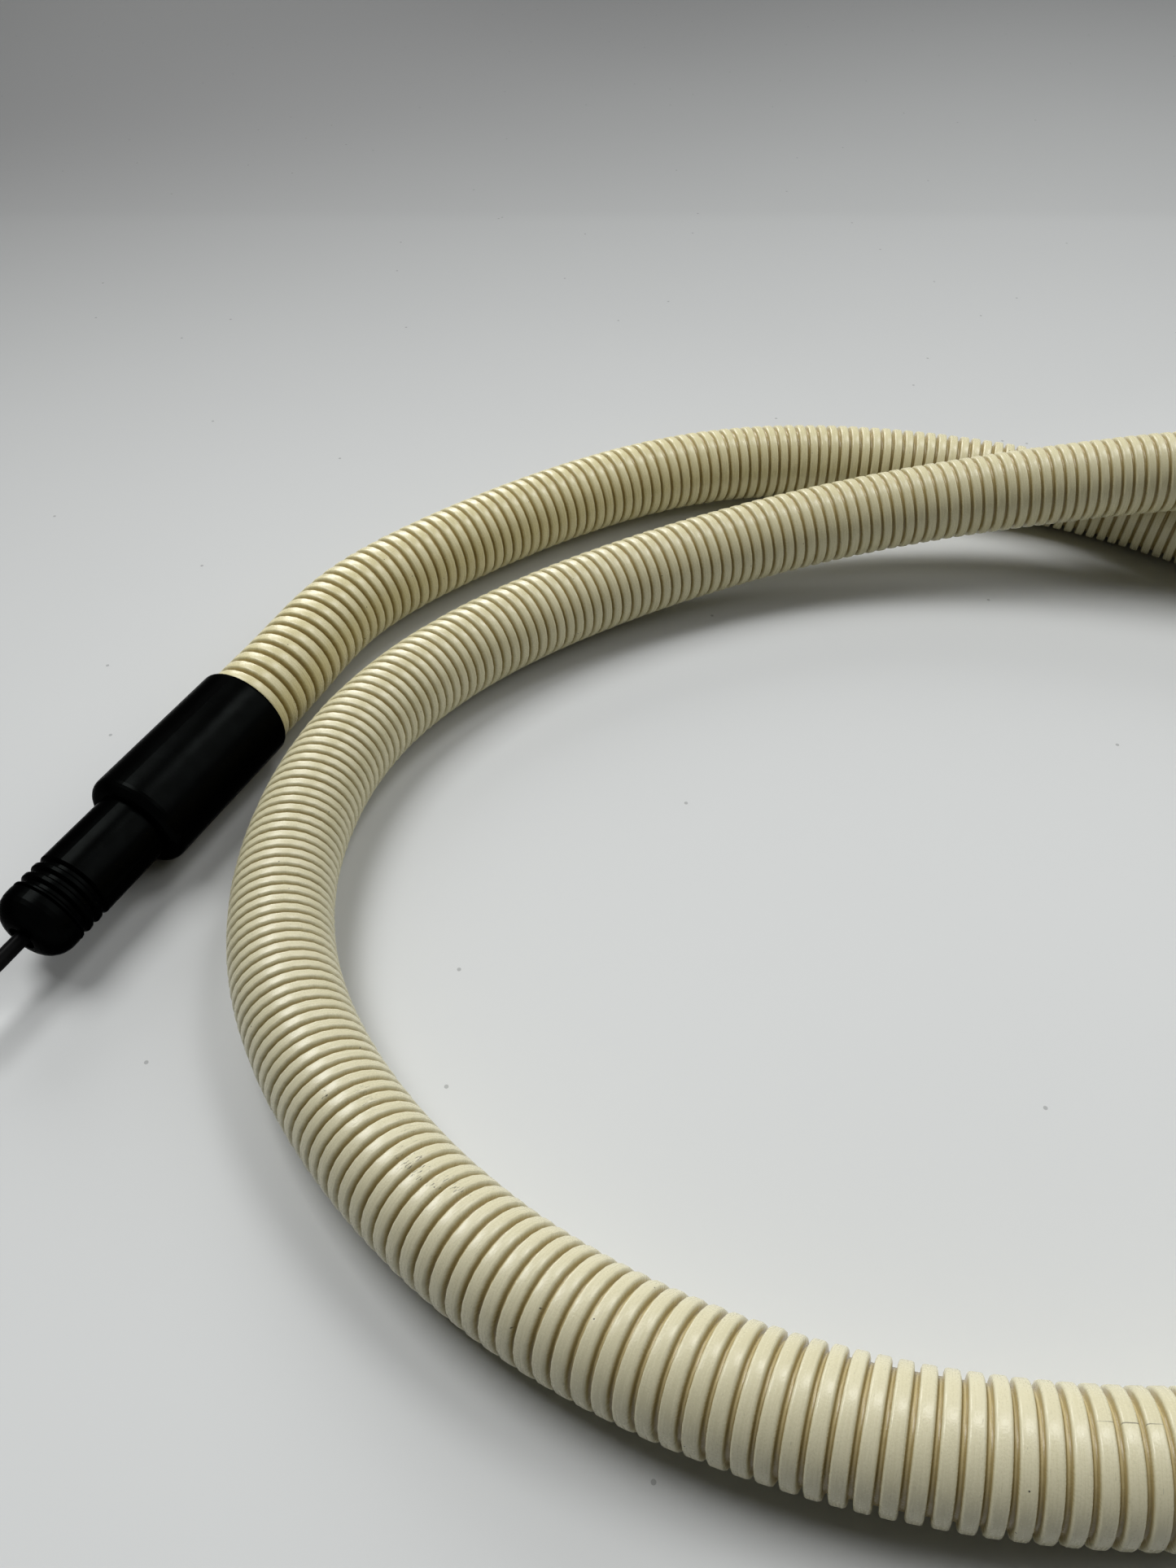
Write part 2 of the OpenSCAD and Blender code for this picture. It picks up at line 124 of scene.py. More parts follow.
def meshPiece(name, points, faces, attributes=None, uv=None, sharpAngle=40):
    # smooth mesh with values at its points, a UV at its corners, and edges sharp past an angle in degrees
    mesh = bpy.data.meshes.new(name)
    mesh.from_pydata(points.tolist(), [], faces)
    for label, values in (attributes or {}).items():
        layer = mesh.attributes.new(label, "FLOAT", "POINT")
        layer.data.foreach_set("value", np.asarray(values, np.float32))
    if uv is not None:
        layer = mesh.uv_layers.new(name="surface")
        layer.data.foreach_set("uv", np.asarray(uv, np.float32).ravel())
    mesh.shade_smooth()
    mesh.set_sharp_from_angle(angle=math.radians(sharpAngle))
    mesh.validate()
    return addObject(name, mesh)


routeSetup = {
    "sheathDiameter": 6.5,     # mm
    "sleeveRadius": 3.6,       # height of the head above the ground
    "flangeRadius": 9.0,       # height of the tail
    "steps": 6001,             # points between which the length is added up
    "head": [(0.5, 62.3), (8.5, 62.3), (16.5, 62.3), (24.5, 62.3)],
    "tail": [(45, -57), (37, -57), (29, -57), (21, -57)],
    # x, y and lift above the ground, between head and tail
    "free": [
        (32.5, 63, 0.3), (44, 58.5, 0.1), (55, 52.5, 0), (64.5, 44.5, 0), (70.5, 34, 0),
        (74, 21.5, 0), (75, 8, 0), (72.5, -5.5, 0), (67.5, -17.5, 0), (59.5, -28, 0),
        (49.5, -35.5, 0), (38, -38.5, 0), (26.5, -37.5, 0), (16.5, -32, 0), (7.5, -23, 0),
        (0.5, -12, 0), (-5.5, 0, 0), (-9, 12.5, 0), (-9.5, 25.5, 0), (-6, 37.5, 0),
        (0.5, 47.5, 0), (10.5, 53, 0), (22, 54.5, 0), (33.5, 51, 0), (44.5, 44, 0.4),
        (54.5, 35, 1.2), (62.5, 24.5, 2.7), (68.5, 12.5, 4.9), (73, 0.5, 7.4), (76, -12.5, 8.1),
        (75.5, -25, 6.3), (72, -37.5, 3.2), (64.5, -47.5, 1.4), (55.5, -54, 3),
    ],
}


def controlPoints(setup):
    # the sheath's middle: head and tail at the heights of their fittings, the rest half its own width up
    half = setup["sheathDiameter"] / 2
    head = [(x, y, setup["sleeveRadius"]) for x, y in setup["head"]]
    free = [(x, y, half + lift) for x, y, lift in setup["free"]]
    tail = [(x, y, setup["flangeRadius"]) for x, y in setup["tail"]]
    return np.array(head + free + tail, float) * mm


def splineAt(control, u):
    # uniform cubic B-spline: place and direction at u, counted in spans
    i = np.minimum(u.astype(int), len(control) - 4)
    t = (u - i)[:, None]
    p = [control[i + k] for k in range(4)]
    weights = [(1 - t) ** 3 / 6, (3 * t ** 3 - 6 * t ** 2 + 4) / 6,
               (-3 * t ** 3 + 3 * t ** 2 + 3 * t + 1) / 6, t ** 3 / 6]
    slopes = [-(1 - t) ** 2 / 2, (9 * t ** 2 - 12 * t) / 6, (-9 * t ** 2 + 6 * t + 3) / 6, t ** 2 / 2]
    place = sum(w * q for w, q in zip(weights, p))
    ahead = sum(w * q for w, q in zip(slopes, p))
    return place, ahead / np.linalg.norm(ahead, axis=1)[:, None]


control = controlPoints(routeSetup)
fineU = np.linspace(0, len(control) - 3, routeSetup["steps"])
finePlace, _ = splineAt(control, fineU)
fineLength = np.concatenate([[0], np.cumsum(np.linalg.norm(np.diff(finePlace, axis=0), axis=1))])
routeLength = fineLength[-1]
print("route is", round(routeLength / mm, 1), "mm long")


def stationFrames(along):
    # place, level side axis and up axis at distances along the route
    place, ahead = splineAt(control, np.interp(along, fineLength, fineU))
    side = np.cross([0, 0, 1], ahead)
    side /= np.linalg.norm(side, axis=1)[:, None]
    return place, side, np.cross(ahead, side)


def ringTurns(sides):
    # angles of a ring's points: (number + 0.5) * full turn / sides
    return (np.arange(sides) + 0.5) * 2 * np.pi / sides


def outwards(sides, first, second):
    # direction out of each point of each ring: cos(turn) * first + sin(turn) * second
    turn = ringTurns(sides)
    return np.cos(turn)[None, :, None] * first[:, None, :] + np.sin(turn)[None, :, None] * second[:, None, :]


def sweepRings(along, radius, sides):
    # rings about the route: place + radius * outwards
    place, side, up = stationFrames(along)
    return place[:, None, :] + radius[:, None, None] * outwards(sides, side, up)


sheathSetup = {
    "radius": 3.25,       # mm, as all lengths here
    "groove": 0.42,       # depth
    "bore": 1.9,          # radius
    "sides": 26,
    "boreRings": 120,
    "pathPoints": 240,    # of the cord's path
    "worn": 0.010,        # how far a rib may be worn below the full radius, and the most of it
    "mostWorn": 0.025,
    "lean": 0.014,        # how far a rib leans off square
    "seed": 7,
    # distance along the sheath and rib spacing there: closer where it is bent tightest
    "spacing": [
        (8.5, 1.1), (20, 1.146), (26, 1.091), (32, 1.029), (38, 0.992), (44, 1.009), (50, 1.009),
        (56, 1.051), (62, 1.028), (68, 0.962), (80, 1), (150, 1.0285), (215, 1.08), (230, 1.118),
        (236, 1.042), (242, 1.061), (248, 0.933), (254, 0.939), (260, 0.855), (266, 0.784), (272, 0.737),
        (278, 0.715), (284, 0.744), (290, 0.79), (296, 0.842), (302, 0.868), (308, 0.94), (314, 0.902),
        (320, 0.938), (326, 0.964), (332, 0.976), (338, 1.016), (344, 0.985), (350, 0.983), (356, 0.991),
        (362, 0.902), (375, 0.96), (455.6, 1),
    ],
    "firstCount": 0.19,   # ribs before the first distance
    "countStep": 0.05,
    # distance, and how far the ribs there are turned about the vertical and tipped, degrees
    "leans": [
        (140, 0, 0), (210, -6, -6), (224, -7, -6.5), (230, -7, -9.8), (236, -6.5, -11.5), (242, -6.3, -13),
        (248, -5.2, -12.5), (254, -4.2, -11.2), (260, -4, -10.8), (266, -3, -8.8), (272, 0.7, -8.2),
        (278, 4.5, -8.5), (284, 6, -8.5), (302, 7, -6.5), (340, 0, 0),
    ],
    # share of a rib's spacing, share of the groove's depth, lean of the surface in degrees:
    # flat tops with rounded shoulders
    "profile": [
        (0.118, 1.0, -32), (0.134, 0.42, -76), (0.178, 0.11, -45), (0.275, 0.0, -6),
        (0.725, 0.0, 6), (0.822, 0.11, 45), (0.866, 0.42, 76), (0.882, 1.0, 32),
    ],
}


def ribCounts(setup):
    # ribs counted along the sheath: the running sum of step / spacing
    places, spacing = np.array(setup["spacing"]).T
    fine = np.arange(places[0], places[-1], setup["countStep"])
    rate = 1 / np.interp(fine, places, spacing)
    passed = np.cumsum((rate[1:] + rate[:-1]) / 2 * setup["countStep"])
    return fine, setup["firstCount"] + np.concatenate([[0], passed])


countPlace, countValue = ribCounts(sheathSetup)


def ribAt(distance):
    # the rib count at a distance in mm
    return float(np.interp(distance, countPlace, countValue))


def withEnds(first, middle, last):
    # the middle values in one row, with one more at each end
    return np.concatenate([[first], np.ravel(middle), [last]])


def ribStations(setup, random):
    # the rings of the outer wall: each rib is the profile, placed by its count, with its top worn a little,
    # radius = full radius - groove * depth - worn * (1 - depth); a plain spigot at each end
    share, depth, slope = np.array(setup["profile"]).T
    ribs = int(countValue[-1]) - 1
    count = 1 + np.arange(ribs)[:, None] + share[None, :]
    worn = np.abs(random.normal(0, setup["worn"], ribs)).clip(0, setup["mostWorn"])
    radius = setup["radius"] - setup["groove"] * depth[None, :] - worn[:, None] * (1 - depth[None, :])
    spigot = setup["radius"] - setup["groove"]
    return {
        "ribs": ribs,
        "rib": withEnds(0, np.repeat(np.arange(ribs), len(share)), ribs),
        "count": withEnds(0, count, ribs + 2),
        "along": withEnds(0, np.interp(count, countValue, countPlace) * mm, routeLength),
        "radius": withEnds(spigot, radius, spigot) * mm,
        "depth": withEnds(1, np.tile(depth, ribs), 1),
        "slope": np.radians(withEnds(0, np.tile(slope, ribs), 0)),
    }


def outerWall(setup, stations, random):
    # points and normals of the ribs. A point is shifted along the route, least at the top, by its rib's own
    # small lean, lean * cos(turn - phase), and by the lean of the ribs there, a plane turned and tipped:
    # tan(tipped) * (full radius - radius * sin(turn)) - tan(turned) * radius * cos(turn)
    along, rib, radius = stations["along"], stations["rib"], stations["radius"][:, None]
    turn = ringTurns(setup["sides"])
    leanPlace, *angles = np.array(setup["leans"]).T
    turned, tipped = (np.tan(np.radians(np.interp(along / mm, leanPlace, a)))[:, None] for a in angles)
    lean = random.normal(0, setup["lean"], stations["ribs"] + 1)[rib] * mm
    phase = random.uniform(0, 2 * np.pi, stations["ribs"] + 1)[rib]
    shift = lean[:, None] * np.cos(turn[None, :] - phase[:, None])
    shift[[0, -1]] = 0
    shift = shift - turned * radius * np.cos(turn) + tipped * (setup["radius"] * mm - radius * np.sin(turn))
    _, side, up = stationFrames(along)
    ahead = np.cross(side, up)
    points = sweepRings(along, stations["radius"], setup["sides"]) + shift[..., None] * ahead[:, None, :]
    across = ahead + turned * side + tipped * up    # square to the leaning rib
    slope = stations["slope"][:, None, None]
    out = outwards(setup["sides"], side, up)
    return points, np.cos(slope) * out + np.sin(slope) * across[:, None, :]


def sheathUv(setup, count, allQuads):
    # u is millimetres round the sheath, v counts the ribs along it; the bore and the ends have none
    sides = setup["sides"]
    turnMm = (np.arange(sides + 1) + 0.5) / sides * 2 * np.pi * setup["radius"]
    quad = np.arange((len(count) - 1) * sides)[:, None]
    column = quad % sides + np.array([[0, 1, 1, 0]])
    row = quad // sides + np.array([[0, 0, 1, 1]])
    outer = np.stack([turnMm[column], count[row]], axis=-1).reshape(-1, 2)
    return np.concatenate([outer, np.zeros(((allQuads - len(quad)) * 4, 2))])


def makeSheath(setup):
    # ribbed outer wall and plain bore in one closed shell; each point knows its groove and its rib's tone
    random = np.random.default_rng(setup["seed"])
    stations = ribStations(setup, random)
    outer, outerNormals = outerWall(setup, stations, random)
    tone = random.random(stations["ribs"] + 1)
    sides, bore = setup["sides"], setup["bore"] * mm
    boreAlong = np.linspace(0, routeLength, setup["boreRings"])
    inner = sweepRings(boreAlong, np.full(len(boreAlong), bore), sides)
    innerNormals = (stationFrames(boreAlong)[0][:, None, :] - inner) / bore
    quads = tubeFaces(len(outer), len(inner), sides)
    innerCount = len(inner) * sides
    attributes = {
        "groove": np.concatenate([np.repeat(stations["depth"], sides), np.ones(innerCount)]),
        "ribTone": np.concatenate([np.repeat(tone[stations["rib"]], sides), np.zeros(innerCount)]),
    }
    points = np.concatenate([outer.reshape(-1, 3), inner.reshape(-1, 3)])
    normals = np.concatenate([outerNormals.reshape(-1, 3), innerNormals.reshape(-1, 3)])
    uv = sheathUv(setup, stations["count"], len(quads))
    piece = meshPiece("ribbedSheath", points, quads.tolist(), attributes, uv, sharpAngle=180)
    piece.data.normals_split_custom_set_from_vertices(normals.tolist())
    return piece


def solidWire(name, outer, ends):
    # rings of points, closed at each end by a fan of triangles about that end's point
    rings, sides = outer.shape[:2]
    start, last = rings * sides, (rings - 1) * sides
    j = np.arange(sides)
    k = (j + 1) % sides
    fans = np.stack([np.full(sides, start), k, j, np.full(sides, start + 1), last + j, last + k], axis=-1)
    faces = gridFaces(rings, sides).tolist() + fans.reshape(-1, 3).tolist()
    return meshPiece(name, np.concatenate([outer.reshape(-1, 3), ends]), faces, sharpAngle=50)


innerSetup = {
    "linerRadius": 1.8,        # mm
    "linerBore": 1.1,
    "coreRadius": 0.5,
    "coreShort": (8.8, 9.3),   # how far the core stops short of the route's ends
    "rings": 180,
    "sides": 14,
}


def makeLiner(setup):
    # plain tube along the whole route, closed at both ends
    along, sides = np.linspace(0, routeLength, setup["rings"]), setup["sides"]
    walls = [sweepRings(along, np.full(len(along), setup[key] * mm), sides).reshape(-1, 3)
             for key in ("linerRadius", "linerBore")]
    return meshPiece("linerTube", np.concatenate(walls), tubeFaces(len(along), len(along), sides).tolist())


def makeCore(setup):
    # solid wire along the middle of the route
    first, last = setup["coreShort"][0] * mm, routeLength - setup["coreShort"][1] * mm
    along = np.linspace(first, last, setup["rings"])
    ends, _, _ = stationFrames(np.array([first, last]))
    rings = sweepRings(along, np.full(len(along), setup["coreRadius"] * mm), setup["sides"])
    return solidWire("coreStrand", rings, ends)


sheath = makeSheath(sheathSetup)
sheathPath, _, _ = stationFrames(np.linspace(0, routeLength, sheathSetup["pathPoints"]))
liner = makeLiner(innerSetup)
core = makeCore(innerSetup)
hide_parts("cable_sheath")
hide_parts("sheath_liner")
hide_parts("core_wire")
for piece, slotName in ((sheath, "ivory_sheath"), (liner, "liner"), (core, "wire_steel")):
    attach(piece, "release")
print("sheath made:", len(sheath.data.polygons), "faces")


springSetup = {
    "turns": 10,
    "wire": 0.6,           # mm
    "closedPitch": 1.05,   # rise of the closed turn at each end, in wires
    "ringsPerTurn": 24,
    "sides": 10,
    "travel": 10.0,        # mm of the plunger
}


def makeSpring(setup, low, high):
    # helix in the box of its node, from the seat at its high end: place = (high - wire / 2 - rise,
    # radius * cos, radius * sin), rising slowly in the closed turn at each end
    wire, turns = setup["wire"] * mm, setup["turns"]
    share = np.linspace(0, 1, turns * setup["ringsPerTurn"] + 1)
    length, closed = high[0] - low[0] - wire, setup["closedPitch"] * wire
    rise = np.interp(share, [0, 1 / turns, 1 - 1 / turns, 1], [0, closed, length - closed, length])
    turn = share * turns * 2 * np.pi
    radial = np.stack([np.zeros_like(turn), np.cos(turn), np.sin(turn)], axis=-1)
    middle = np.array([high[0] - wire / 2, (low[1] + high[1]) / 2, (low[2] + high[2]) / 2])
    centre = middle + radial * ((high[1] - low[1] - wire) / 2)
    centre[:, 0] -= rise
    ahead = np.gradient(centre, axis=0)
    ahead /= np.linalg.norm(ahead, axis=1)[:, None]
    rings = centre[:, None] + wire / 2 * outwards(setup["sides"], radial, np.cross(ahead, radial))
    return solidWire("returnCoil", rings, centre[[0, -1]])


springLow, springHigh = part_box("return_spring")
spring = makeSpring(springSetup, springLow, springHigh)
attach(spring, "release")
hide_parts("return_spring")
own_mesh(spring)
print("spring made")


def nodeAdder(tree):
    # gives a function that adds a node, links the inputs that come from a socket and sets the others
    def add(kind, inputs=None, **settings):
        node = tree.nodes.new(kind)
        for key, value in settings.items():
            setattr(node, key, value)
        for key, value in (inputs or {}).items():
            if isinstance(value, bpy.types.NodeSocket):
                tree.links.new(value, node.inputs[key])
            else:
                node.inputs[key].default_value = value
        return node
    return add


def maths(add, operation, *values, clamp=False):
    # one operation on one to three values
    return add("ShaderNodeMath", dict(enumerate(values)), operation=operation, use_clamp=clamp).outputs[0]


def vectorMaths(add, operation, *values):
    # the same on vectors; its outputs are Vector and Value
    return add("ShaderNodeVectorMath", dict(enumerate(values)), operation=operation).outputs


def weightedSum(add, *terms, clamp=False):
    # source * weight, added up over the terms
    (source, weight), *others = terms
    total = maths(add, "MULTIPLY", source, weight)
    for source, weight in others:
        total = maths(add, "MULTIPLY_ADD", source, weight, total)
    total.node.use_clamp = clamp
    return total


def ramp(add, value, start, end, low=0.0, high=1.0, curve="LINEAR"):
    # low up to the start, high from the end on, and in between along a line, or a curve by its name
    limits = {"Value": value, "From Min": start, "From Max": end, "To Min": low, "To Max": high}
    return add("ShaderNodeMapRange", limits, interpolation_type=curve).outputs[0]


def smoothRamp(add, value, start, end, low=0.0, high=1.0):
    # the same, with t * t * (3 - 2 * t) in between
    return ramp(add, value, start, end, low, high, curve="SMOOTHSTEP")


def mixColors(add, factor, first, second, blend="MIX"):
    # first * (1 - factor) + second * factor, or first and second multiplied
    return add("ShaderNodeMix", {0: factor, 6: first, 7: second}, data_type="RGBA", blend_type=blend).outputs[2]


def newGroup(name, inputs, output):
    # empty node group with named inputs and one output
    group = bpy.data.node_groups.new(name, "ShaderNodeTree")
    for label, kind, value in inputs:
        socket = group.interface.new_socket(label, in_out="INPUT", socket_type="NodeSocket" + kind)
        if value is not None:
            socket.default_value = value
    group.interface.new_socket(output, in_out="OUTPUT", socket_type="NodeSocketFloat")
    add = nodeAdder(group)
    return group, add, add("NodeGroupInput").outputs


def buildSpecks():
    # small dark marks: 1 within a size of the middle of a flat cell, in the share of cells that is kept
    group, add, given = newGroup("specks", [
        ("Vector", "Vector", None), ("Scale", "Float", 400.0), ("Size", "Float", 0.12), ("Share", "Float", 0.1),
    ], "Mask")
    cells = add("ShaderNodeTexVoronoi", {"Vector": given["Vector"], "Scale": given["Scale"]},
                voronoi_dimensions="2D").outputs
    near = maths(add, "LESS_THAN", cells["Distance"], given["Size"])
    pick = add("ShaderNodeSeparateColor", {"Color": cells["Color"]}).outputs[0]
    kept = maths(add, "LESS_THAN", pick, given["Share"])
    add("NodeGroupOutput", {"Mask": maths(add, "MULTIPLY", near, kept)})
    return group


def buildMottle():
    # soft noise, spread between two limits
    group, add, given = newGroup("mottle", [
        ("Vector", "Vector", None), ("Scale", "Float", 100.0), ("Detail", "Float", 4.0),
        ("Low", "Float", 0.0), ("High", "Float", 1.0),
    ], "Value")
    noise = add("ShaderNodeTexNoise", {key: given[key] for key in ("Vector", "Scale", "Detail")})
    spread = ramp(add, noise.outputs["Fac"], 0.3, 0.7, given["Low"], given["High"])
    add("NodeGroupOutput", {"Value": spread})
    return group


def buildPatch():
    # soft patch about a point of the UV map: r is the length of (place - centre) / reach,
    # and the mask is 0 at r = 1 and 1 well inside
    group, add, given = newGroup("patch", [
        ("Vector", "Vector", None), ("Centre", "Vector", None), ("Reach", "Vector", None),
    ], "Mask")
    away = vectorMaths(add, "SUBTRACT", given["Vector"], given["Centre"])[0]
    r = vectorMaths(add, "LENGTH", vectorMaths(add, "DIVIDE", away, given["Reach"])[0])["Value"]
    add("NodeGroupOutput", {"Mask": smoothRamp(add, r, 1.0, 0.35)})
    return group


specksGroup = buildSpecks()
mottleGroup = buildMottle()
patchGroup = buildPatch()


def speckled(add, vector, scale, size, share):
    # specks of a size, as a share of a cell, in a share of all cells
    values = {"Vector": vector, "Scale": scale, "Size": size, "Share": share}
    return add("ShaderNodeGroup", values, node_tree=specksGroup).outputs[0]


def mottled(add, vector, scale, detail, low=0.0, high=1.0):
    # mottle from low to high
    values = {"Vector": vector, "Scale": scale, "Detail": detail, "Low": low, "High": high}
    return add("ShaderNodeGroup", values, node_tree=mottleGroup).outputs[0]


def patched(add, uv, centre, reach):
    # centre as mm round the sheath and mm along it, reach as mm and ribs
    values = {"Vector": uv, "Centre": (centre[0], ribAt(centre[1]), 0), "Reach": (*reach, 1)}
    return add("ShaderNodeGroup", values, node_tree=patchGroup).outputs[0]


def bumped(add, height, distance, strength):
    # normals of a surface raised by height * distance, in metres
    return add("ShaderNodeBump", {"Height": height, "Distance": distance, "Strength": strength}).outputs[0]


def newMaterial(name):
    # empty material, and the function that adds its nodes
    material = bpy.data.materials.new(name)
    material.use_nodes = True
    material.node_tree.nodes.clear()
    return material, nodeAdder(material.node_tree)


def addShader(add, inputs):
    # the last step of a material: its shader, with what changes over the surface linked and the rest set
    shader = add("ShaderNodeBsdfPrincipled", inputs)
    add("ShaderNodeOutputMaterial", {"Surface": shader.outputs[0]})


ivory = {
    "rib": (0.61, 0.568, 0.37, 1),
    "ribPale": (0.715, 0.675, 0.48, 1),
    "groove": (0.36, 0.28, 0.115, 1),
    "grooveHighlight": (0.62, 0.52, 0.27, 1),
    "soil": (0.085, 0.08, 0.065, 1),
    "yellowed": (1.0, 0.97, 0.82, 1),
    # distance, mm: yellowed in full before the first, not between the middle two, half past the last
    "yellowedAt": (40, 130, 265, 310),
    "yellowedLast": 0.5,
    # share of the groove's depth over which the rib's colour gives way to the groove's, a brown that is partly
    # its own colour and partly painted shade
    "wall": (0.10, 0.85),
    # the paler line, a painted highlight along the groove's floor: where it starts and is full, as a share of
    # the spacing from a rib's middle
    "highlightFrom": (0.43, 0.48),
    # mm round the sheath: its lit top, and how far from there the painted highlight starts to fade and is gone
    "topAt": 5.1,
    "highlightReach": (2.6, 4.2),
    # scale and detail of the noise, by mm round the sheath and ribs: streaks, stretched round the ribs,
    # fine grain and wide blotches
    "streakStretch": (0.5, 9.0, 1.0),
    "streaks": (1.0, 5.0),
    "grain": (9.0, 5.0),
    "blotch": (0.12, 3.0),
    # share of streaks, blotches, grain and the rib's own tone in the paler colour
    "pale": (0.28, 0.3, 0.25, 0.2),
    # share of grain with blotches and of streaks in the roughness, and its limits
    "matt": (0.3, 0.4),
    "roughness": (0.21, 0.34),
    "specular": 0.5,
    # share of streaks, grain and dirt in the height, and its depth in metres and strength
    "height": (0.25, 0.35, -1.2),
    "bump": (0.00002, 0.6),
    "specks": (1.3, 0.05, 0.02),            # scale, size and share
    # scratches: noise, turned and stretched, shown from one limit to the other, and their strength
    "scratchTurn": 0.6,
    "scratchStretch": (2.6, 14.0, 1.0),
    "scratchFrom": (0.66, 0.72),
    "scratches": 0.22,
    # scuffed patches: middle as mm round and mm along the sheath, reach as mm and ribs, and strength
    "scuffs": [
        ((5.5, 257.3), (1.0, 2.6), 0.75), ((6.2, 255.4), (0.8, 1.8), 0.55), ((6.6, 259.5), (0.7, 2.0), 0.3),
        ((4.3, 263.6), (0.36, 0.9), 1.0), ((6.0, 262.4), (0.8, 2.2), 0.3),
    ],
    "scuffCut": (-0.16, 0.74),              # scratches show above patch * first + second
    "scuffEdges": (0.03, 0.1),              # how softly they and their patch begin
    "nick": ((6.13, 222.1), (0.035, 1.9), 0.75),
}


def grooveShade(add, look, split):
    # the groove's colour, partly its own brown and partly painted shade, with a paler line along the middle of
    # its floor, a painted highlight which fades away from the lit top
    share = maths(add, "FRACT", split[1])
    middle = maths(add, "ABSOLUTE", maths(add, "SUBTRACT", share, 0.5))
    line = smoothRamp(add, middle, *look["highlightFrom"])
    fromTop = maths(add, "ABSOLUTE", maths(add, "SUBTRACT", split[0], look["topAt"]))
    # painted highlight: full near the lit top, fading towards the shaded underside
    litReach, unlitReach = look["highlightReach"]
    litShare = smoothRamp(add, fromTop, unlitReach, litReach)
    return mixColors(add, maths(add, "MULTIPLY", line, litShare), look["groove"], look["grooveHighlight"])


def yellowing(add, look, rib):
    # 1 near the camera end, 0 along the middle, and a part of it again towards the hand end
    first, second, third, last = (ribAt(place) for place in look["yellowedAt"])
    before = smoothRamp(add, rib, second, first)
    after = smoothRamp(add, rib, third, last, 0.0, look["yellowedLast"])
    return maths(add, "MAXIMUM", before, after)


def dirtMask(add, look, uv, deep):
    # the darkest of specks, thin scratches, scuffed patches and a nick, only on the ribs
    specks = speckled(add, uv, *look["specks"])
    slanted = add("ShaderNodeMapping", {
        "Vector": uv, "Rotation": (0, 0, look["scratchTurn"]), "Scale": look["scratchStretch"],
    }).outputs[0]
    dashes = add("ShaderNodeTexNoise", {"Vector": slanted, "Scale": 1.0, "Detail": 3.0}).outputs["Fac"]
    dirt = maths(add, "MAXIMUM", specks, ramp(add, dashes, *look["scratchFrom"], 0.0, look["scratches"]))
    for centre, reach, strength in look["scuffs"]:
        patch = patched(add, uv, centre, reach)
        cut = maths(add, "MULTIPLY_ADD", patch, *look["scuffCut"])
        marks = ramp(add, maths(add, "SUBTRACT", dashes, cut), 0.0, look["scuffEdges"][0])
        within = ramp(add, patch, 0.0, look["scuffEdges"][1], 0.0, strength)
        dirt = maths(add, "MAXIMUM", dirt, maths(add, "MULTIPLY", marks, within))
    centre, reach, strength = look["nick"]
    dirt = maths(add, "MAXIMUM", dirt, maths(add, "MULTIPLY", patched(add, uv, centre, reach), strength))
    return maths(add, "MULTIPLY", dirt, maths(add, "SUBTRACT", 1.0, deep), clamp=True)


def ivoryMaterial(name, look):
    # ribs between two ivories, brown grooves partly darkened as painted shade with a painted highlight along
    # them, yellowed by distance, dirt on top
    material, add = newMaterial(name)
    uv = add("ShaderNodeUVMap", uv_map="surface").outputs[0]
    split = add("ShaderNodeSeparateXYZ", {0: uv}).outputs
    groove = add("ShaderNodeAttribute", attribute_name="groove").outputs["Fac"]
    tone = add("ShaderNodeAttribute", attribute_name="ribTone").outputs["Fac"]
    stretched = add("ShaderNodeMapping", {"Vector": uv, "Scale": look["streakStretch"]}).outputs[0]
    streaks = mottled(add, stretched, *look["streaks"])
    grain = mottled(add, uv, *look["grain"])
    blotch = mottled(add, uv, *look["blotch"])
    pale = weightedSum(add, *zip((streaks, blotch, grain, tone), look["pale"]), clamp=True)
    deep = smoothRamp(add, groove, *look["wall"])
    ribShade = mixColors(add, pale, look["rib"], look["ribPale"])
    color = mixColors(add, deep, ribShade, grooveShade(add, look, split))
    yellower = mixColors(add, 1.0, color, look["yellowed"], blend="MULTIPLY")
    color = mixColors(add, yellowing(add, look, split[1]), color, yellower)
    dirt = dirtMask(add, look, uv, deep)
    matt = weightedSum(add, *zip((maths(add, "ADD", grain, blotch), streaks), look["matt"]))
    height = weightedSum(add, *zip((streaks, grain, dirt), look["height"]))
    addShader(add, {
        "Base Color": mixColors(add, dirt, color, look["soil"]),
        "Roughness": ramp(add, matt, 0.0, 1.0, *look["roughness"]),
        "Normal": bumped(add, height, *look["bump"]),
        "Specular IOR Level": look["specular"],
    })
    return material


# the satin black is part metal with a dark edge, so that lamps show in it as streaks and its rim stays dark
blacks = {
    "blackSatin": {"color": (0.0017, 0.0019, 0.0018, 1), "worn": (0.0023, 0.0026, 0.0025, 1),
                   "roughness": (0.25, 0.32), "metallic": 0.9, "edge": 0.3},
    "blackWire": {"color": (0.004, 0.004, 0.0042, 1), "worn": (0.008, 0.008, 0.0082, 1),
                  "roughness": (0.2, 0.32), "metallic": 0.0, "edge": 1.0},
    "blackButton": {"color": (0.006, 0.006, 0.006, 1), "worn": (0.012, 0.012, 0.012, 1),
                    "roughness": (0.16, 0.3), "metallic": 0.0, "edge": 1.0},
}
# scale and detail of both noises, depth in metres and strength of the bump, and the gloss
blackFinish = {"haze": (900.0, 6.0), "smear": (160.0, 2.0), "bump": (0.000008, 0.4), "specular": 0.018}


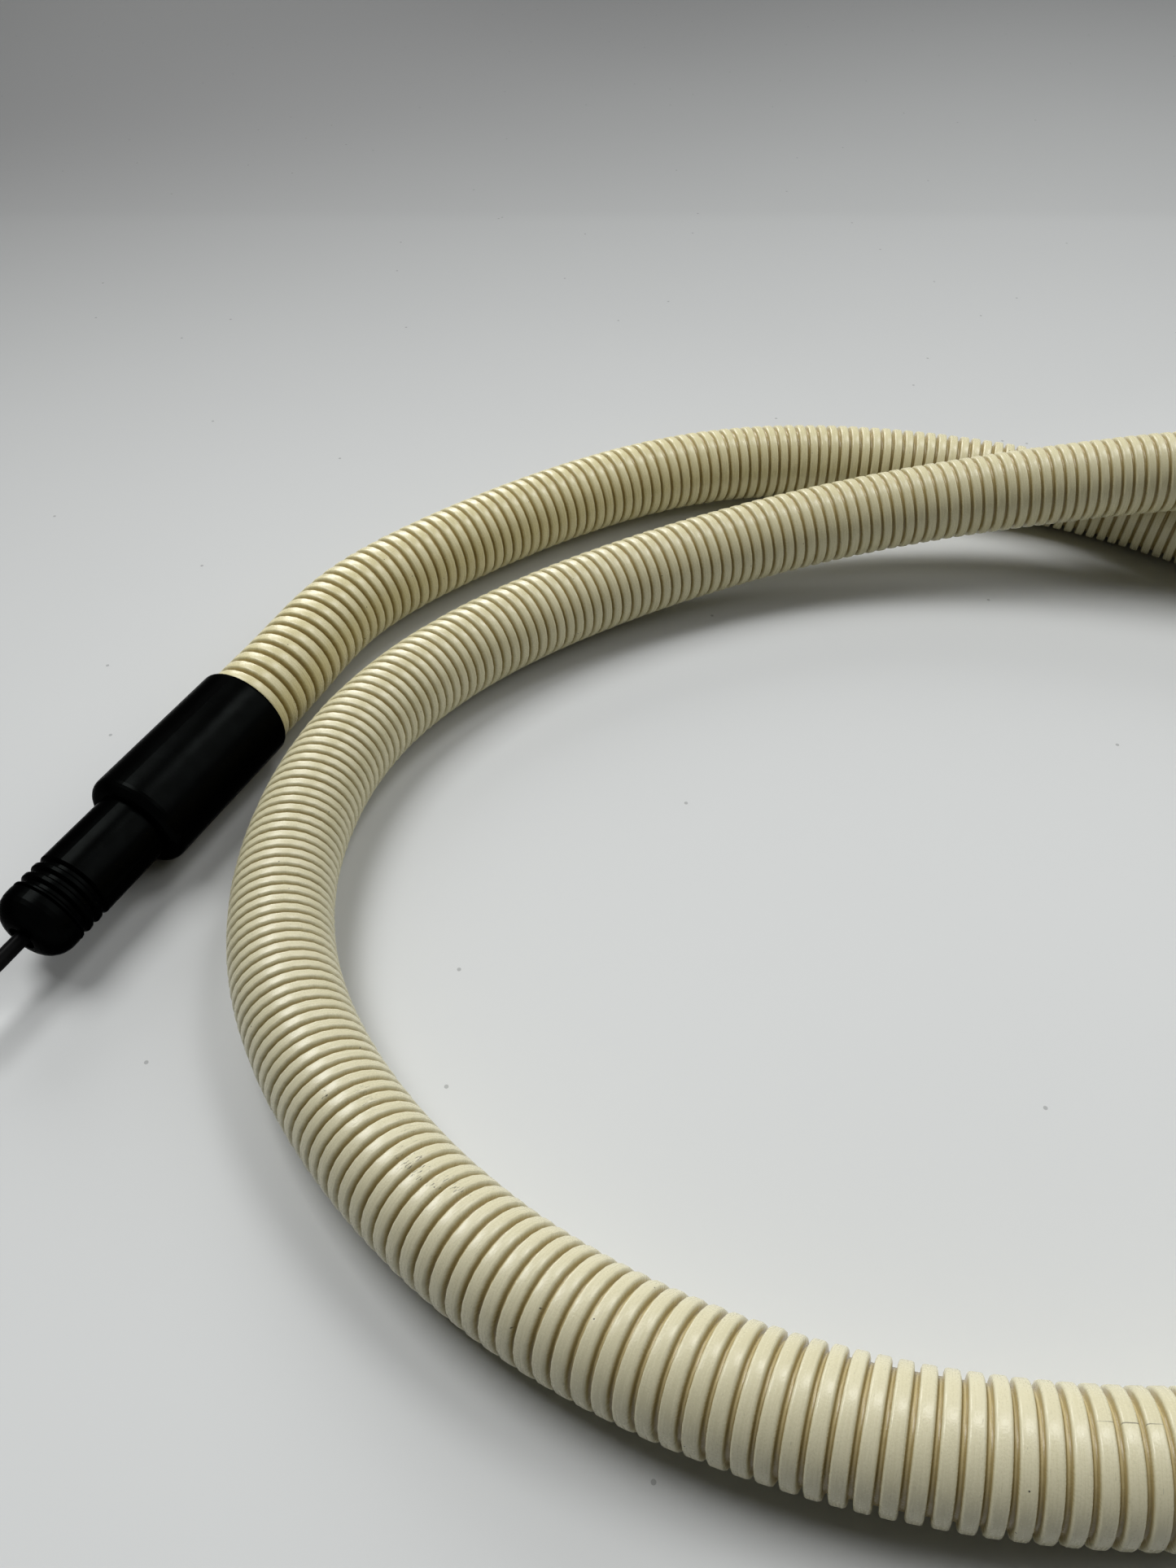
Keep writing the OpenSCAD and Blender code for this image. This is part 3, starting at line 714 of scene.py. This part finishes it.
def blackMaterial(name, look, finish):
    # fine haze between two blacks, and wide smears in the roughness
    material, add = newMaterial(name)
    place = add("ShaderNodeTexCoord").outputs["Object"]
    haze = mottled(add, place, *finish["haze"])
    smear = mottled(add, place, *finish["smear"])
    edge = look["edge"]
    addShader(add, {
        "Base Color": mixColors(add, haze, look["color"], look["worn"]),
        "Roughness": ramp(add, smear, 0.0, 1.0, *look["roughness"]),
        "Normal": bumped(add, haze, *finish["bump"]),
        "Metallic": look["metallic"],
        "Specular Tint": (edge, edge, edge, 1),
        "Specular IOR Level": finish["specular"],
    })
    return material


# grain: scale of the turned lines along x, y and z, high along the axis that the piece was turned on
alongX, alongZ = (2500.0, 40.0, 40.0), (160.0, 160.0, 2500.0)
metals = {
    "turnedBrass": {"color": (0.76, 0.55, 0.24, 1), "dull": (0.62, 0.43, 0.17, 1),
                    "roughness": (0.22, 0.4), "grain": alongX, "metallic": 1.0},
    "satinNickel": {"color": (0.74, 0.71, 0.65, 1), "dull": (0.6, 0.57, 0.51, 1),
                    "roughness": (0.2, 0.34), "grain": alongX, "metallic": 1.0},
    "knurledNickel": {"color": (0.64, 0.615, 0.56, 1), "dull": (0.54, 0.515, 0.46, 1),
                      "roughness": (0.4, 0.5), "grain": alongZ, "metallic": 1.0},
    "drawnSteel": {"color": (0.6, 0.6, 0.6, 1), "dull": (0.48, 0.48, 0.49, 1),
                   "roughness": (0.22, 0.38), "grain": alongX, "metallic": 1.0},
    "linerPlastic": {"color": (0.5, 0.42, 0.24, 1), "dull": (0.42, 0.34, 0.18, 1),
                     "roughness": (0.4, 0.55), "grain": alongX, "metallic": 0.0},
}
metalFinish = {"lines": (1.0, 4.0), "stain": (220.0, 4.0), "bump": (0.000006, 0.5)}


def metalMaterial(name, look, finish):
    # stains between two colours, and turned lines in the roughness and height
    material, add = newMaterial(name)
    place = add("ShaderNodeTexCoord").outputs["Object"]
    turned = add("ShaderNodeMapping", {"Vector": place, "Scale": look["grain"]}).outputs[0]
    lines = mottled(add, turned, *finish["lines"])
    stain = mottled(add, place, *finish["stain"])
    addShader(add, {
        "Base Color": mixColors(add, stain, look["color"], look["dull"]),
        "Roughness": ramp(add, lines, 0.0, 1.0, *look["roughness"]),
        "Normal": bumped(add, lines, *finish["bump"]),
        "Metallic": look["metallic"],
    })
    return material


nodeLooks = {
    "blackSatin": ["end_sleeve", "nose_barrel", "nose_cap", "nose_bush", "handle_sleeve", "plunger_barrel",
                   "finger_flange", "lock_boss"],
    "blackWire": ["release_wire"],
    "blackButton": ["thumb_button"],
    "turnedBrass": ["front_crimp_ring", "handle_crimp_ring", "nose_wire_guide", "handle_wire_guide",
                    "core_nipple"],
    "satinNickel": ["barrel_bush", "button_collar"],
    "knurledNickel": ["lock_screw"],
    "drawnSteel": ["plunger_rod", "rod_piston", "spring_seat", "plunger_wire"],
}
materials = {"agedIvory": ivoryMaterial("agedIvory", ivory)}
materials.update({name: blackMaterial(name, look, blackFinish) for name, look in blacks.items()})
materials.update({name: metalMaterial(name, look, metalFinish) for name, look in metals.items()})
for look, names in nodeLooks.items():
    for name in names:
        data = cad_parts[name].data
        data.materials.clear()
        data.materials.append(materials[look])
for piece, look in ((sheath, "agedIvory"), (liner, "linerPlastic"),
                    (core, "drawnSteel"), (spring, "drawnSteel")):
    piece.data.materials.append(materials[look])
print("materials made:", len(materials))


studio = {
    "floorSize": 3.0,                     # metres from the middle to each edge
    "floor": (0.978, 1.0, 0.995, 1),
    "roughness": 0.75,
    "specular": 0.2,
    # floor tone, a painted pool of window light: near / (1 + r^power), with r in mm over reach, ahead of and
    # beside the line that runs from the centre in the direction given; nothing darkens behind the centre
    "centre": (-22.384, 28.228),
    "direction": 58.894,
    "reach": (140.048, 264.269),
    "near": 0.666,
    "power": 2.31,
    "sideStart": (-40, 90),
    # painted shade, darker to the far left: direction of the far axis in degrees, ranges along and beside it in
    # mm
    "dim": {"direction": 27.0, "ahead": (70, 190), "beside": (-50, 125), "skew": 0.35, "skewFrom": 148.7,
            "share": 0.42},
    # painted shade of the paper's fold: darker beyond the crease
    "crease": (141.5, 147.0, 0.045),      # mm along the far axis, and how much darker beyond it
    "cloud": (14.0, 4.0, 0.985, 1.012),   # scale and detail, and the limits of its tone
    "dust": (150.0, 0.02, 0.14),          # scale, size and share
    "dustDark": 0.35,
    "fade": (0.28, 0.43),                 # metres from the middle where the backdrop's grey starts and is full
    "backdrop": 0.34,
    "world": 0.02,
    # azimuth and height in degrees, distance and size in metres, watts
    "lamps": {
        "windowLow": (45, 22, 0.6, (0.26, 0.26), 1.39),
        "windowHigh": (75, 58, 0.6, (0.28, 0.28), 2.19),
        "side": (313, 42, 0.6, (0.45, 0.42), 1.03),
        "key": (348, 57, 0.6, (0.15, 0.15), 0.72),
    },
    "target": (0.02, 0.01, 0.0),          # what they all face, metres
}


def lookedAt(add):
    # 1 for rays from the camera, also by way of gloss or glass
    path = add("ShaderNodeLightPath").outputs
    seen = maths(add, "MAXIMUM", path["Is Camera Ray"], path["Is Glossy Ray"])
    return maths(add, "MAXIMUM", seen, path["Is Transmission Ray"])


def paintedPoolOfLight(add, setup, place):
    # painted pool of light: near / (1 + (x * x + y * y)^(power / 2)), with x ahead and y beside, both over
    # their reach
    centre = tuple(c * mm for c in setup["centre"]) + (0,)
    away = vectorMaths(add, "SUBTRACT", place, centre)[0]
    turned = add("ShaderNodeVectorRotate", {"Vector": away, "Angle": -math.radians(setup["direction"])},
                 rotation_type="Z_AXIS").outputs[0]
    ahead, beside, _ = add("ShaderNodeSeparateXYZ", {0: turned}).outputs
    start, span = (v * mm for v in setup["sideStart"])
    share = ramp(add, ahead, start, start + span)
    ahead = maths(add, "DIVIDE", maths(add, "MAXIMUM", ahead, 0.0), setup["reach"][0] * mm)
    beside = maths(add, "MULTIPLY", maths(add, "DIVIDE", beside, setup["reach"][1] * mm), share)
    square = maths(add, "MULTIPLY_ADD", beside, beside, maths(add, "MULTIPLY", ahead, ahead))
    fall = maths(add, "ADD", maths(add, "POWER", square, setup["power"] / 2), 1.0)
    return maths(add, "DIVIDE", setup["near"], fall)


def farShades(add, setup, place):
    # painted shade: 1 - share * (how far ahead) * (how far to the left), and 1 - drop past the crease
    dim = setup["dim"]
    cos, sin = math.cos(math.radians(dim["direction"])), math.sin(math.radians(dim["direction"]))
    far = vectorMaths(add, "DOT_PRODUCT", place, (cos, sin, 0))["Value"]
    left = vectorMaths(add, "DOT_PRODUCT", place, (-sin, cos, 0))["Value"]
    left = maths(add, "MULTIPLY_ADD", maths(add, "SUBTRACT", far, dim["skewFrom"] * mm), dim["skew"], left)
    shares = [smoothRamp(add, value, *(v * mm for v in dim[key]))
              for value, key in ((far, "ahead"), (left, "beside"))]
    darker = maths(add, "MULTIPLY", maths(add, "MULTIPLY", *shares), -dim["share"])
    start, end, drop = setup["crease"]
    fold = smoothRamp(add, far, start * mm, end * mm, 0.0, -drop)
    return [maths(add, "ADD", shade, 1.0) for shade in (darker, fold)]


def floorMaterial(setup):
    # white paper with a painted pool of window light, clouds, painted shade in the dim corner and past a
    # crease, and dust; far off it gives way to the backdrop's grey, only where it is looked at
    material, add = newMaterial("paper")
    place = add("ShaderNodeTexCoord").outputs["Object"]
    tone = paintedPoolOfLight(add, setup, place)
    dust = maths(add, "MULTIPLY_ADD", speckled(add, place, *setup["dust"]), -setup["dustDark"], 1.0)
    faded = smoothRamp(add, vectorMaths(add, "LENGTH", place)["Value"], *setup["fade"])
    for factor in (mottled(add, place, *setup["cloud"]), *farShades(add, setup, place), dust,
                   maths(add, "SUBTRACT", 1.0, faded)):
        tone = maths(add, "MULTIPLY", tone, factor)
    shade = add("ShaderNodeCombineColor", {0: tone, 1: tone, 2: tone}).outputs[0]
    glow = maths(add, "MULTIPLY", maths(add, "MULTIPLY", faded, setup["backdrop"]), lookedAt(add))
    addShader(add, {
        "Base Color": mixColors(add, 1.0, shade, setup["floor"], blend="MULTIPLY"),
        "Roughness": setup["roughness"],
        "Specular IOR Level": setup["specular"],
        "Emission Color": add("ShaderNodeCombineColor", {0: glow, 1: glow, 2: glow}).outputs[0],
        "Emission Strength": 1.0,
    })
    return material


def makeFloor(setup):
    # one level square
    half = setup["floorSize"]
    corners = np.array([(-half, -half, 0), (half, -half, 0), (half, half, 0), (-half, half, 0)], float)
    floor = meshPiece("paperFloor", corners, [(0, 1, 2, 3)])
    floor.data.materials.append(floorMaterial(setup))


def addLamp(name, lamp, target):
    # area light at target + distance * back, with back = (cos a * cos h, sin a * cos h, sin h)
    azimuth, height, distance, size, energy = lamp
    data = bpy.data.lights.new(name, "AREA")
    data.shape = "RECTANGLE"
    data.size, data.size_y = size
    data.energy = energy
    turn, lift = math.radians(azimuth), math.radians(height)
    back = np.array([math.cos(turn) * math.cos(lift), math.sin(turn) * math.cos(lift), math.sin(lift)])
    side = np.cross([0, 0, 1], back)
    side /= np.linalg.norm(side)
    addObject(name, data, (side, np.cross(back, side), back), np.array(target) + back * distance)


def makeWorld(strength, backdrop):
    # strength = dim light all round, and the grey backdrop where it is looked at
    world = bpy.data.worlds.new("studio")
    world.use_nodes = True
    bpy.context.scene.world = world
    background = world.node_tree.nodes["Background"]
    background.inputs["Color"].default_value = (1, 1, 1, 1)
    add = nodeAdder(world.node_tree)
    level = maths(add, "MULTIPLY_ADD", lookedAt(add), backdrop - strength, strength)
    world.node_tree.links.new(level, background.inputs["Strength"])


makeFloor(studio)
makeWorld(studio["world"], studio["backdrop"])
for name, lamp in studio["lamps"].items():
    addLamp(name, lamp, studio["target"])
bpy.context.scene.view_settings.view_transform = "Standard"
print("studio ready")
